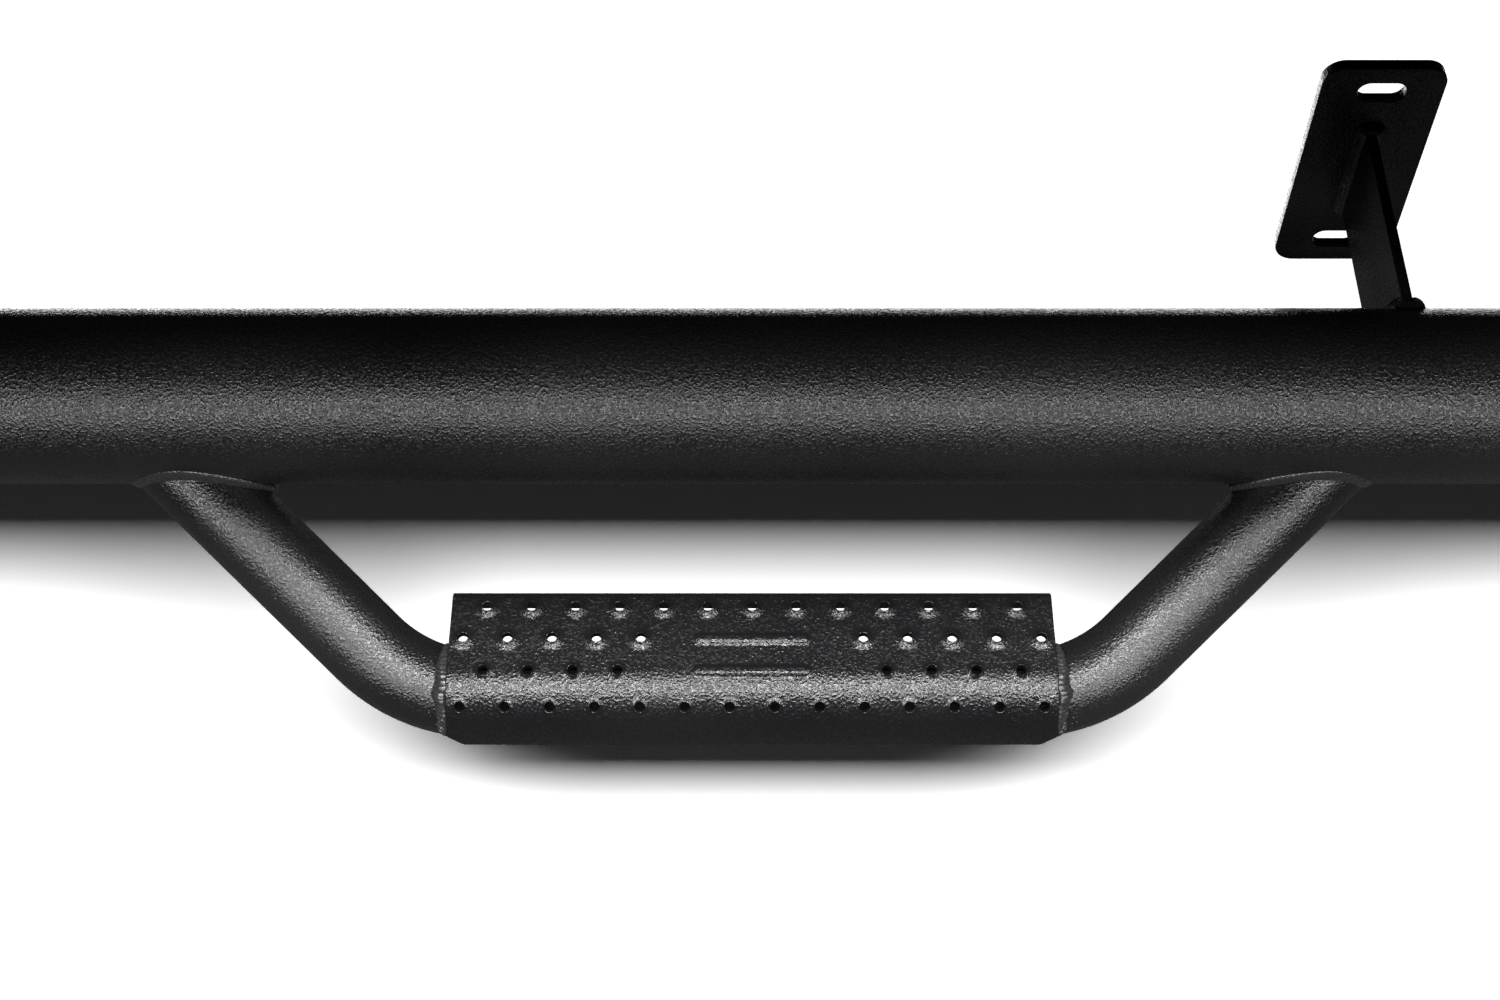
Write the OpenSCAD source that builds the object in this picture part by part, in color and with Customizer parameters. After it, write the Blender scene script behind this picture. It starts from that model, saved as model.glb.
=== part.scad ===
// Side step bar: a round tube with a welded hoop that carries a dimpled, folded step pad.
// X runs along the bar, the mount plates are on the +Y side and +Z is up.
// The origin is the centre of the four body bolts, in the plane of the mount plates' faces.

/* [Main tube] */
// Outside diameter of the main tube
main_od = 76.2; // [60:0.1:102]
// Wall of the main tube
main_wall = 2; // [1.5:0.1:5]
// Length of the main tube without its caps
main_length = 1270; // [1000:5:2200]
// Thickness of an end cap at its rim
cap_rim = 3; // [2:0.5:6]
// Height of an end cap's dome above its rim
cap_dome = 5; // [2:0.5:12]

/* [Hoop] */
// Outside diameter of the hoop tube
hoop_od = 38.1; // [30:0.1:50]
// Wall of the hoop tube
hoop_wall = 2; // [1.5:0.1:4]
// Distance from the main tube's axis to the axis of the hoop's bottom run
hoop_drop = 130; // [110:1:160]
// Angle between a leg and the main tube
leg_angle = 45; // [40:1:60]
// Centreline radius of the hoop's bends
hoop_bend = 70; // [50:1:90]
// Angle of the hoop's plane below the horizontal
hoop_slope = 39; // [30:1:60]
// Distance of the hoop's middle to the right of the bar's middle
hoop_shift = 97; // [-200:1:200]

/* [Step pad] */
// Width of the pad along the bar
pad_width = 262; // [200:1:320]
// Thickness of the pad's sheet
pad_t = 3; // [2:0.1:4]
// Distance from the hoop's axis back to the pad's rear edge
pad_back = 39.3; // [36:0.1:60]
// Distance that the front skirt reaches below the hoop's axis
skirt_drop = 3.5; // [2:0.5:15]
// Distance of the front fold's axis in front of and above the hoop's axis
fold_offset = 1; // [0:0.5:12]
// Inside radius of the rear fold
rear_fold = 1.5; // [1:0.5:4]
// Depth of the rear flange below the tread's top
rear_flange = 10; // [8:0.5:16]
// Side of the chamfers on the skirt's lower corners
skirt_chamfer = 6.5; // [3:0.5:10]
// Length by which the pad reaches over each of the hoop's bends
pad_overlap = 13; // [0:0.5:16]
// Gap between the pad's sheet and the hoop's bends, at the pad's ends
pad_gap = 0.2; // [0.1:0.1:0.5]

/* [Dimples] */
// Distance between the holes of a row
hole_pitch = 19.2; // [17:0.05:26]
// Distance between rows, along the sheet
row_pitch = 15.85; // [14:0.05:20]
// Diameter of the hole in a dimple
hole_d = 4.3; // [3:0.1:6]
// Diameter of a dimple at its foot
dimple_d = 13; // [9:0.5:14]
// Diameter of a dimple at its foot, in the fold
fold_dimple_d = 9; // [7:0.5:12]
// Height of a dimple above the sheet
dimple_h = 1.8; // [1:0.1:2.5]
// Width of the level rim round a hole
dimple_rim = 0.3; // [0.2:0.1:1.5]
// Distance of the first row from the rear edge
row_setback = 9.7; // [8:0.1:12]
// Least distance from the last hole of a row to the pad's end
row_margin = 5; // [4:0.5:12]
// Width of the place without holes in the two middle rows
plain_width = 86; // [60:1:120]
// Length of the two pressed ribs in that place
rib_length = 52; // [30:1:70]
// Width of a pressed rib
rib_width = 7; // [4:0.5:9]
// Height of a pressed rib
rib_h = 1.2; // [0.6:0.1:1.6]

/* [Brackets] */
// Distance between the two brackets
bracket_spacing = 760; // [600:5:1000]
// Distance from the mount plates' faces to the main tube's axis
standoff = 140; // [120:1:200]
// Distance of an arm's edges from the main tube's top and bottom
arm_inset = 12.1; // [2:0.1:16]
// Thickness of a bracket arm
arm_t = 4.8; // [3:0.1:8]
// Width of a mount plate
plate_width = 56; // [45:1:80]
// Height of a mount plate
plate_height = 128; // [124:1:160]
// Thickness of a mount plate
plate_t = 6; // [4:0.5:10]
// Corner radius of a mount plate
plate_corner = 10; // [5:1:16]
// Distance from a bolt's centre to its end of a mount plate
bolt_inset = 15; // [13:0.5:16]
// Width of a bolt slot
slot_width = 11; // [8:0.5:13]
// Length of a bolt slot
slot_length = 22; // [16:1:32]

/* [Welds] */
// Leg of the weld beads between the hoop and the main tube
hoop_bead = 4; // [3:0.5:7]
// Width of the weld beads at the pad's ends
pad_bead = 5; // [3:0.5:7]
// Leg of the weld beads on the bracket arms
arm_bead = 4.5; // [3:0.5:6]
// Height of the weld beads round the end caps
cap_bead = 1.5; // [0.5:0.1:3]
// Width of those beads
cap_bead_width = 4.8; // [3:0.1:8]

/* [Hidden] */
$fn = 64;

powder_black = [0.10, 0.10, 0.11];
weld_black = [0.13, 0.13, 0.14];
left = -1;
right = 1;
past = 1;

main_r = main_od / 2;
arm_height = main_od - 2 * arm_inset;
bolt_spacing = plate_height - 2 * bolt_inset;
hoop_r = hoop_od / 2;
bend_tangent = hoop_bend * tan(leg_angle / 2);
bottom_half = pad_width / 2 - pad_overlap;
leg_length = hoop_drop / sin(leg_angle) - bend_tangent;

// Distance from the hoop's middle to the place where a leg's axis crosses the main tube's axis
leg_foot = bottom_half + bend_tangent + hoop_drop / tan(leg_angle);

// The bends start inside the pad's ends, so the tube's rise there sets the sheet's height.
end_rise = hoop_bend - sqrt(pow(hoop_bend, 2) - pow(pad_overlap, 2));

// The pad's section is drawn in Y and Z from the hoop's axis, with its outside at pad_reach.
pad_reach = hoop_r + end_rise + pad_gap + pad_t;
fold_outer = pad_reach - fold_offset;
fold_inner = fold_outer - pad_t;
rear_outer = rear_fold + pad_t;
flat_length = pad_back + fold_offset;
rim_r = hole_d / 2 + dimple_rim;
hollow_inset = 1.8;
flare_steps = 5;
row_count = 4;

crown_steps = 5;
bead_gap = 0.06;
seam_rings = 64;
pad_weld_rings = 24;
pad_weld_start = -32;
pad_weld_least = 0.35;
loop_edge = 0.5;
loop_corner_steps = 3;
arm_side_steps = 24;
plate_side_steps = 12;

// Places

module at_bar() {
    translate([0, -standoff, 0]) children();
}

module at_hoop() {
    at_bar() translate([hoop_shift, 0, 0]) rotate([hoop_slope - 90, 0, 0]) children();
}

module at_pad() {
    at_bar()
        translate([hoop_shift, -hoop_drop * cos(hoop_slope), -hoop_drop * sin(hoop_slope)])
            children();
}

module at_bracket(side) {
    translate([side * bracket_spacing / 2, 0, 0]) children();
}

module at_bar_end(side) {
    at_bar() translate([side * main_length / 2, 0, 0]) rotate([0, side * 90, 0]) children();
}

// Mirrors a right-hand shape to the left
module to_side(side) {
    if (side == right) children();
    else mirror([1, 0, 0]) children();
}

// Weld beads

function unit(v) = v / norm(v);

// One ring of a fillet bead: the corner it fills, the middle of its foot, then a round crown
// from the toe on one surface to the toe on the other
function fillet_ring(corner, middle, toe_a, toe_b) = concat(
    [corner, middle],
    [
        for (i = [0:crown_steps])
            let (a = 90 * i / crown_steps)
                corner + cos(a) * (toe_a - corner) + sin(a) * (toe_b - corner)
    ]
);

// Skins a list of rings. A closed bead joins its last ring to its first.
module bead(rings, closed) {
    count = len(rings);
    sides = len(rings[0]);
    walls = [
        for (r = [0:(closed ? count : count - 1) - 1], i = [0:sides - 1])
            let (a = r * sides, b = ((r + 1) % count) * sides, j = (i + 1) % sides)
                [[a + i, a + j, b + j], [a + i, b + j, b + i]]
    ];
    ends = closed ? [] : [
        [for (i = [sides - 1:-1:0]) i],
        [for (i = [0:sides - 1]) (count - 1) * sides + i],
    ];
    polyhedron(
        points = [for (r = rings) each r],
        faces = concat([for (w = walls) each w], ends),
        convexity = 4
    );
}

// Point at a radius from the X axis, straight out from another point
function at_radius(p, r) = let (out = unit([0, p[1], p[2]])) [p[0], 0, 0] + r * out;

// Main tube and caps

module main_solid() {
    translate([-main_length / 2, 0, 0]) rotate([0, 90, 0]) cylinder(r = main_r, h = main_length);
}

module main_tube() {
    color(powder_black) at_bar() difference() {
        main_solid();
        translate([-main_length / 2 - past, 0, 0])
            rotate([0, 90, 0]) cylinder(r = main_r - main_wall, h = main_length + 2 * past);
    }
}

module end_cap(side) {
    dome_r = (main_r * main_r + cap_dome * cap_dome) / (2 * cap_dome);
    color(powder_black) at_bar_end(side) union() {
        cylinder(r = main_r, h = cap_rim);
        intersection() {
            translate([0, 0, cap_rim + cap_dome - dome_r]) sphere(r = dome_r, $fn = 180);
            translate([0, 0, cap_rim / 2]) cylinder(r = main_r, h = cap_rim / 2 + cap_dome);
        }
    }
}

module cap_weld(side) {
    color(weld_black) at_bar_end(side) rotate_extrude() difference() {
        translate([main_r, 0]) scale([1, cap_bead_width / 2 / cap_bead]) circle(r = cap_bead, $fn = 32);
        translate([0, -cap_bead_width]) square([main_r, 2 * cap_bead_width]);
    }
}

// Hoop

// Half of the hoop's run at a given radius, in the hoop's own plane, from its middle outwards
module half_run(r) {
    translate([0, 0, -hoop_drop]) rotate([0, 90, 0]) cylinder(r = r, h = bottom_half);
    translate([bottom_half, 0, hoop_bend - hoop_drop]) {
        rotate([90, 0, 0]) rotate([0, 0, -90])
            rotate_extrude(angle = leg_angle) translate([hoop_bend, 0]) circle(r = r);
        translate([hoop_bend * sin(leg_angle), 0, -hoop_bend * cos(leg_angle)])
            rotate([0, 90 - leg_angle, 0]) cylinder(r = r, h = leg_length);
    }
}

module hoop_run(r) {
    half_run(r);
    mirror([1, 0, 0]) half_run(r);
}

module hoop_tube() {
    color(powder_black) difference() {
        at_hoop() difference() {
            hoop_run(hoop_r);
            hoop_run(hoop_r - hoop_wall);
        }
        at_bar() main_solid();
    }
}

// Point of the seam between the right leg and the main tube, at an angle round the leg
function seam_point(a) =
    let (
        deep = sqrt(main_r * main_r - pow(hoop_r * sin(a), 2)),
        run = (hoop_r * cos(a) * cos(leg_angle) + deep) / sin(leg_angle)
    )
    [
        leg_foot - run * cos(leg_angle) - hoop_r * cos(a) * sin(leg_angle),
        hoop_r * sin(a),
        -deep,
    ];

function seam_ring(a) =
    let (
        p = seam_point(a),
        down_leg = [-cos(leg_angle), 0, -sin(leg_angle)],
        leg_out = [-cos(a) * sin(leg_angle), sin(a), cos(a) * cos(leg_angle)],
        tube_out = unit([0, p[1], p[2]]),
        side = unit(cross(seam_point(a + 1) - seam_point(a - 1), tube_out)),
        away = side * leg_out > 0 ? side : -side
    )
    fillet_ring(
        p + bead_gap * (leg_out + tube_out),
        at_radius(p + hoop_bead / 2 * away, main_r + bead_gap),
        at_radius(p + hoop_bead * away, main_r + bead_gap),
        p + hoop_bead * down_leg + bead_gap * leg_out
    );

module hoop_weld(side) {
    color(weld_black) at_hoop() to_side(side)
        bead([for (i = [0:seam_rings - 1]) seam_ring(360 * i / seam_rings)], true);
}

// Step pad

// The folded sheet's section, with its rear flange on the right
module pad_section() {
    translate([-fold_offset, pad_reach - pad_t]) square([flat_length - rear_outer, pad_t]);
    translate([-pad_reach, -skirt_drop]) square([pad_t, skirt_drop + fold_offset]);
    translate([-fold_offset, fold_offset]) intersection() {
        difference() {
            circle(r = fold_outer);
            circle(r = fold_inner);
        }
        translate([-fold_outer, 0]) square(fold_outer);
    }
    translate([pad_back - rear_outer, pad_reach - rear_outer]) intersection() {
        difference() {
            circle(r = rear_outer);
            circle(r = rear_fold);
        }
        square(rear_outer);
    }
    translate([pad_back - pad_t, pad_reach - rear_flange]) square([pad_t, rear_flange - rear_outer]);
}

module pad_sheet() {
    translate([-pad_width / 2, 0, 0])
        rotate([90, 0, 90]) linear_extrude(height = pad_width) pad_section();
}

// Moves a feature to a distance along the sheet's outside, measured from the rear edge
module on_sheet(x, s) {
    turn = min(90, max(0, (s - flat_length) / fold_outer * 180 / PI));
    down = max(0, s - flat_length - fold_outer * PI / 2);
    ahead = min(s, flat_length);
    translate([
        x,
        pad_back - ahead - fold_outer * sin(turn),
        fold_offset + fold_outer * cos(turn) - down,
    ])
        rotate([turn, 0, 0]) children();
}

function row_holes(row) =
    let (most = floor((pad_width - 2 * row_margin) / hole_pitch) + 1)
    row % 2 == 0 ? most - 1 : most;

function is_middle(row) = row == 1 || row == 2;

function row_place(row) = row_setback + row * row_pitch;

all_rows = [0:row_count - 1];
flat_rows = [for (row = all_rows) if (row_place(row) < flat_length) row];
folded_rows = [for (row = all_rows) if (row_place(row) >= flat_length) row];

module each_hole(rows) {
    for (row = rows, i = [0:row_holes(row) - 1]) {
        x = (i - (row_holes(row) - 1) / 2) * hole_pitch;
        if (!is_middle(row) || abs(x) > plain_width / 2)
            on_sheet(x, row_place(row)) children();
    }
}

// Flare from a foot to a rim, steepest at the rim, as points from the foot up
function flare(foot, rim, height) = [
    for (i = [0:flare_steps])
        let (t = i / flare_steps) [foot + (rim - foot) * t, height * t * t]
];

module dimple(foot) {
    sunk = pad_t / 2;
    rotate_extrude() polygon(concat(
        [[0, dimple_h], [0, -sunk], [foot + sunk / 2, -sunk]],
        flare(foot, rim_r, dimple_h)
    ));
}

// The plain hole of a dimple in the fold, where the tube backs the sheet
module folded_hole() {
    translate([0, 0, -2 * pad_t]) cylinder(d = hole_d, h = 2 * pad_t + dimple_h + past);
}

// The hollow under a dimple, with the hole through it
module dimple_hollow() {
    foot = dimple_d / 2 - hollow_inset;
    below = -pad_t - past;
    rotate_extrude() polygon(concat(
        [[0, below], [foot, below]],
        [for (p = flare(foot, hole_d / 2, dimple_h)) [p[0], p[1] - pad_t]],
        [[hole_d / 2, dimple_h + past], [0, dimple_h + past]]
    ));
}

// A pressed rib with round ends and a round crown
module rib() {
    rib_r = (rib_width * rib_width / 4 + rib_h * rib_h) / (2 * rib_h);
    half = (rib_length - rib_width) / 2;
    translate([0, 0, rib_h - rib_r]) intersection() {
        union() {
            translate([-half, 0, 0]) rotate([0, 90, 0]) cylinder(r = rib_r, h = 2 * half, $fn = 128);
            for (end = [left, right]) translate([end * half, 0, 0]) sphere(r = rib_r, $fn = 128);
        }
        translate([-rib_length, -rib_length, rib_r - rib_h - pad_t / 2])
            cube([2 * rib_length, 2 * rib_length, rib_h + pad_t]);
    }
}

module skirt_corner(side) {
    to_side(side)
        translate([pad_width / 2, -pad_reach + pad_t + past, -skirt_drop])
            rotate([90, 0, 0]) linear_extrude(height = pad_t + 2 * past)
                polygon([[past, -past], [past, skirt_chamfer + past], [0, skirt_chamfer],
                         [-skirt_chamfer, 0], [-skirt_chamfer - past, -past]]);
}

module step_pad() {
    color(powder_black) at_pad() difference() {
        union() {
            pad_sheet();
            intersection() {
                union() {
                    each_hole(flat_rows) dimple(dimple_d / 2);
                    each_hole(folded_rows) dimple(fold_dimple_d / 2);
                }
                cube([pad_width, 4 * pad_back, 4 * pad_back], center = true);
            }
            for (row = all_rows) if (is_middle(row)) on_sheet(0, row_place(row)) rib();
        }
        each_hole(flat_rows) dimple_hollow();
        each_hole(folded_rows) folded_hole();
        for (side = [left, right]) skirt_corner(side);
    }
}

// Distance from the hoop's axis to the sheet's outside, at an angle from the top to the front
function sheet_reach(a) =
    let (edge = atan(fold_offset / pad_reach))
    a < edge ? pad_reach / cos(a)
    : a > 90 - edge ? pad_reach / cos(90 - a)
    : fold_offset * (cos(a) + sin(a))
        + sqrt(fold_outer * fold_outer - pow(fold_offset * (cos(a) - sin(a)), 2));

// Point just off the right half of the hoop tube, at a place along the bar and an angle from the
// top to the front, measured from the axis of the hoop's bottom run
function on_hoop(x, a) =
    let (
        r = hoop_r + bead_gap,
        off_plane = r * cos(a - hoop_slope),
        outer = hoop_bend + r * sin(a - hoop_slope),
        down = sqrt(pow(outer, 2) - pow(max(0, x - bottom_half), 2)) - hoop_bend
    )
    [
        x,
        -down * cos(hoop_slope) - off_plane * sin(hoop_slope),
        -down * sin(hoop_slope) + off_plane * cos(hoop_slope),
    ];

// Ring of the bead at the pad's right end, from its start behind the tube to its finish in front
function pad_weld_ring(t) =
    let (
        finish = 90 + atan((skirt_drop - skirt_chamfer / 2) / pad_reach),
        a = pad_weld_start + (finish - pad_weld_start) * t,
        swell = pad_weld_least + (1 - pad_weld_least) * sqrt(sin(180 * t)),
        x = pad_width / 2 + bead_gap,
        corner = on_hoop(x, a),
        sheet = [x, -sheet_reach(a) * sin(a), sheet_reach(a) * cos(a)]
    )
    fillet_ring(
        corner,
        on_hoop(x + swell * pad_bead / 2, a),
        on_hoop(x + swell * pad_bead, a),
        corner + swell * (sheet - corner)
    );

module pad_weld(side) {
    color(weld_black) at_pad() to_side(side)
        bead([for (i = [0:pad_weld_rings]) pad_weld_ring(i / pad_weld_rings)], false);
}

// Brackets

module arm(side) {
    color(powder_black) difference() {
        at_bracket(side) translate([-arm_t / 2, -standoff, -arm_height / 2])
            cube([arm_t, standoff - plate_t, arm_height]);
        at_bar() main_solid();
    }
}

module slot() {
    reach = (slot_length - slot_width) / 2;
    for (end = [left, right]) translate([end * reach, 0]) circle(d = slot_width);
    square([2 * reach, slot_width], center = true);
}

module mount_plate(side) {
    inner = [plate_width - 2 * plate_corner, plate_height - 2 * plate_corner];
    color(powder_black) at_bracket(side) rotate([90, 0, 0]) linear_extrude(height = plate_t) difference() {
        union() {
            square([inner[0], plate_height], center = true);
            square([plate_width, inner[1]], center = true);
            for (x = [left, right], y = [left, right])
                translate([x * inner[0] / 2, y * inner[1] / 2]) circle(r = plate_corner);
        }
        for (y = [left, right]) translate([0, y * bolt_spacing / 2]) slot();
    }
}

// Outline of an arm's end from its middle, as pairs of a place and an outward direction,
// with the place and direction each across the arm and along it
function arm_loop(half, side_steps) = [
    for (quarter = [0:3])
        let (
            across = quarter == 0 || quarter == 3 ? 1 : -1,
            along = quarter < 2 ? 1 : -1,
            inner = [arm_t / 2 - loop_edge, half - loop_edge]
        )
        each concat(
            [
                for (i = [0:loop_corner_steps])
                    let (
                        a = 90 * (quarter + i / loop_corner_steps),
                        out = [cos(a), sin(a)]
                    )
                    [[across * inner[0], along * inner[1]] + (loop_edge + bead_gap) * out, out]
            ],
            quarter % 2 == 0 ? [] : [
                for (i = [1:side_steps - 1])
                    [
                        [across * (arm_t / 2 + bead_gap), along * inner[1] * (1 - 2 * i / side_steps)],
                        [across, 0],
                    ]
            ]
        )
];

// Point on the main tube, from a place along it and a length round it from its inboard side
function on_tube(place) =
    let (a = place[1] / main_r * 180 / PI)
    [place[0], (main_r + bead_gap) * cos(a), (main_r + bead_gap) * sin(a)];

function arm_weld_ring(place, out) =
    let (
        corner = on_tube(place),
        end = abs(out[1]),
        up = unit((1 - end) * unit([0, corner[1], corner[2]]) + [0, end, 0])
    )
    fillet_ring(
        corner,
        on_tube(place + arm_bead / 2 * out),
        on_tube(place + arm_bead * out),
        corner + arm_bead * up
    );

module arm_weld(side) {
    half = main_r * asin(arm_height / 2 / main_r) * PI / 180;
    color(weld_black) at_bar() translate([side * bracket_spacing / 2, 0, 0])
        bead([for (p = arm_loop(half, arm_side_steps)) arm_weld_ring(p[0], p[1])], true);
}

function plate_weld_ring(place, out) =
    let (
        corner = [place[0], -plate_t - bead_gap, place[1]],
        along = arm_bead * [out[0], 0, out[1]]
    )
    fillet_ring(corner, corner + along / 2, corner + along, corner - [0, arm_bead, 0]);

module plate_weld(side) {
    color(weld_black) at_bracket(side)
        bead([for (p = arm_loop(arm_height / 2, plate_side_steps)) plate_weld_ring(p[0], p[1])], true);
}

main_tube();
end_cap(left);  // left_end_cap
end_cap(right);  // right_end_cap
cap_weld(left);  // left_cap_weld
cap_weld(right);  // right_cap_weld
hoop_tube();
hoop_weld(left);  // left_hoop_weld
hoop_weld(right);  // right_hoop_weld
step_pad();
pad_weld(left);  // left_pad_weld
pad_weld(right);  // right_pad_weld
arm(left);  // left_arm
arm(right);  // right_arm
arm_weld(left);  // left_arm_weld
arm_weld(right);  // right_arm_weld
mount_plate(left);  // left_mount_plate
mount_plate(right);  // right_mount_plate
plate_weld(left);  // left_plate_weld
plate_weld(right);  // right_plate_weld
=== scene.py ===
import math

import bmesh
import bpy
import numpy as np
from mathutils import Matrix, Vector


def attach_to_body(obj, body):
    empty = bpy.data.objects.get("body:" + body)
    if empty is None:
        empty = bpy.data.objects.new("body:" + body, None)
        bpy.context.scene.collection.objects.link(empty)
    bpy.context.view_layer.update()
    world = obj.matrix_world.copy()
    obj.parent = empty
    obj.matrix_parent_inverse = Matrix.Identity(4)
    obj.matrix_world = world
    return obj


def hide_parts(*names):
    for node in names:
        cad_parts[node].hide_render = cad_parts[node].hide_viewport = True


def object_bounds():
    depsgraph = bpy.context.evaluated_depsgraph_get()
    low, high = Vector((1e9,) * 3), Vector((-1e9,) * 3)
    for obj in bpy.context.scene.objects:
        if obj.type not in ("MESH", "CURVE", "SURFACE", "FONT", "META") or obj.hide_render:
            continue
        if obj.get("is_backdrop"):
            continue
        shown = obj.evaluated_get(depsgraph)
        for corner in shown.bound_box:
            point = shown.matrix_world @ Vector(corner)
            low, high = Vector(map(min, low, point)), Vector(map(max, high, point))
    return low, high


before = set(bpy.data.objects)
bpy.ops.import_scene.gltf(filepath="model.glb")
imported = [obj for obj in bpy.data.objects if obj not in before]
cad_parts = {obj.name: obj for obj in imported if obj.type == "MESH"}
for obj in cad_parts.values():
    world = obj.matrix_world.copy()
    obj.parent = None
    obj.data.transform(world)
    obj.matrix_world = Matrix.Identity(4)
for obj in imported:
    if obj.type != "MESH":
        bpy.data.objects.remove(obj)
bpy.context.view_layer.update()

# Sizes of the built part, in metres. X runs along the bar, +Y is the mount plates' side, +Z is up.
# The pad's rear flange alone is deeper than the solid's 10 mm, so that less light shows under its rear row.
MM = 0.001
MAIN_R, MAIN_WALL, MAIN_HALF = 38.1 * MM, 2 * MM, 635 * MM
CAP_RIM, CAP_DOME, CAP_BEAD = 3 * MM, 5 * MM, 1.5 * MM
STANDOFF, SHIFT = 140 * MM, 97 * MM
HOOP_R, HOOP_WALL, BEND_R = 19.05 * MM, 2 * MM, 70 * MM
DROP, LEG = 130 * MM, math.radians(45)
SLOPE = math.radians(39)
PAD_HALF, PAD_T, OVERLAP = 131 * MM, 3 * MM, 13 * MM
HALF_RUN = PAD_HALF - OVERLAP
LEG_FOOT = HALF_RUN + BEND_R * math.tan(LEG / 2) + DROP / math.tan(LEG)
PAD_BACK, SKIRT_DROP, CHAMFER = 39.3 * MM, 3.5 * MM, 6.5 * MM
FOLD_C, REAR_R, FLANGE = 1 * MM, 4.5 * MM, 11.5 * MM
END_RISE = BEND_R - math.sqrt(BEND_R ** 2 - OVERLAP ** 2)
PAD_CLEARANCE = 0.2 * MM
PAD_REACH = HOOP_R + END_RISE + PAD_CLEARANCE + PAD_T
FOLD_R = PAD_REACH - FOLD_C
PITCH, ROW, SETBACK = 19.2 * MM, 15.85 * MM, 9.7 * MM
HOLE_R = 2.15 * MM
# Foot radius and height of the dimples, row by row from the rear
DIMPLE_FOOT, DIMPLE_RISE = np.array([6.5, 6.5, 5.0, 4.2]) * MM, np.array([1.8, 1.8, 1.3, 0.6]) * MM
# A dimple's foot is this much smaller on the sheet's underside
UNDER_INSET = 1.8 * MM
# The two pressed ribs: half length, radii of foot and crown, and height
RIB_HALF, RIB_FOOT, RIB_CROWN, RIB_RISE = 22.5 * MM, 3.5 * MM, 0.8 * MM, 1.2 * MM
PAD_AT = np.array([SHIFT, -STANDOFF - DROP * math.cos(SLOPE), -DROP * math.sin(SLOPE)])
BRACKET_X, ARM_T, ARM_H, PLATE_T = 380 * MM, 4.8 * MM, 52 * MM, 6 * MM
HOOP_BEAD, PAD_BEAD, ARM_BEAD = 4 * MM, 5 * MM, 4.5 * MM
# The beads' toes lie this far off the surfaces
LIFT = 0.05 * MM


# ---- materials ----

def srgb(code):
    """Linear colour of a hex code."""
    values = [int(code[i:i + 2], 16) / 255 for i in (1, 3, 5)]
    return [v / 12.92 if v <= 0.04045 else ((v + 0.055) / 1.055) ** 2.4 for v in values] + [1]


def node(tree, kind, links=(), values=(), **settings):
    """Adds a node, sets its properties and input values, and links its inputs."""
    made = tree.nodes.new(kind)
    for key, value in settings.items():
        setattr(made, key, value)
    for key, value in dict(values).items():
        made.inputs[key].default_value = value
    for key, socket in dict(links).items():
        tree.links.new(socket, made.inputs[key])
    return made


def ramp(tree, value, low, high, first=0.0, last=1.0):
    return node(tree, "ShaderNodeMapRange", {"Value": value},
                {"From Min": low, "From Max": high, "To Min": first, "To Max": last}).outputs["Result"]


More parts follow.
